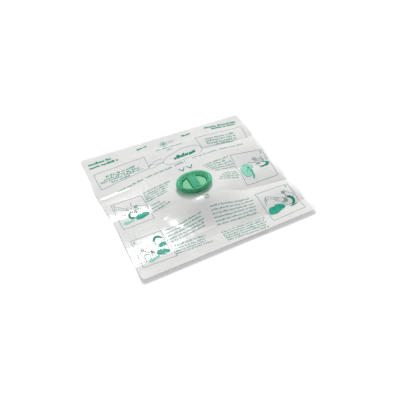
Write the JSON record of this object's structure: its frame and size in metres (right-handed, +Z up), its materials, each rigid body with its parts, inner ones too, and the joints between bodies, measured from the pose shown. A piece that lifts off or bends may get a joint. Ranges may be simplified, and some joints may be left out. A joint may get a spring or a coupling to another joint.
{
  "type": "resuscitation face shield",
  "caption": "Creased printed film sheet with a round one-way valve mouthpiece through its middle, lying unfolded on a table.",
  "frame": {"origin": "centre of the film's outline at table height, the bottom centre of the part's box", "axes": "+X along the film's long side, in the reading direction of its print; +Y towards the top of the print; +Z up, to the rescuer's side"},
  "size_m": [0.21, 0.197, 0.0194],
  "materials": {
    "film": "thin translucent plastic film, glossy, creased, with one-colour green print",
    "green_plastic": "translucent green moulded plastic, polished",
    "pale_green_plastic": "translucent pale green moulded plastic",
    "silicone": "thin translucent silicone, satin",
    "adhesive": "double-sided adhesive ring, matt"
  },
  "bodies": {
    "shield": {"shield_film": "film", "adhesive_ring": "adhesive", "mouthpiece_rim": "green_plastic", "valve_seat": "green_plastic", "membrane_strip": "silicone", "membrane_retainer": "pale_green_plastic", "lower_housing": "green_plastic"},
    "right_flap": {"right_leaflet": "silicone"},
    "left_flap": {"left_leaflet": "silicone"}
  },
  "joints": [
    {"name": "right_leaflet_swing", "type": "hinge", "parent": "shield", "child": "right_flap", "pos_m": [0.00257, -0.00392, 0.01006], "axis": [0.1216, 0.9564, -0.2654], "range_deg": [0, 30], "stiffness_Nm_per_rad": 0.00005, "springref_deg": -11.46},
    {"name": "left_leaflet_swing", "type": "hinge", "parent": "shield", "child": "left_flap", "pos_m": [-0.00674, -0.003, 0.00912], "axis": [-0.1216, -0.9564, 0.2654], "range_deg": [0, 30], "stiffness_Nm_per_rad": 0.00005, "springref_deg": -11.46}
  ]
}
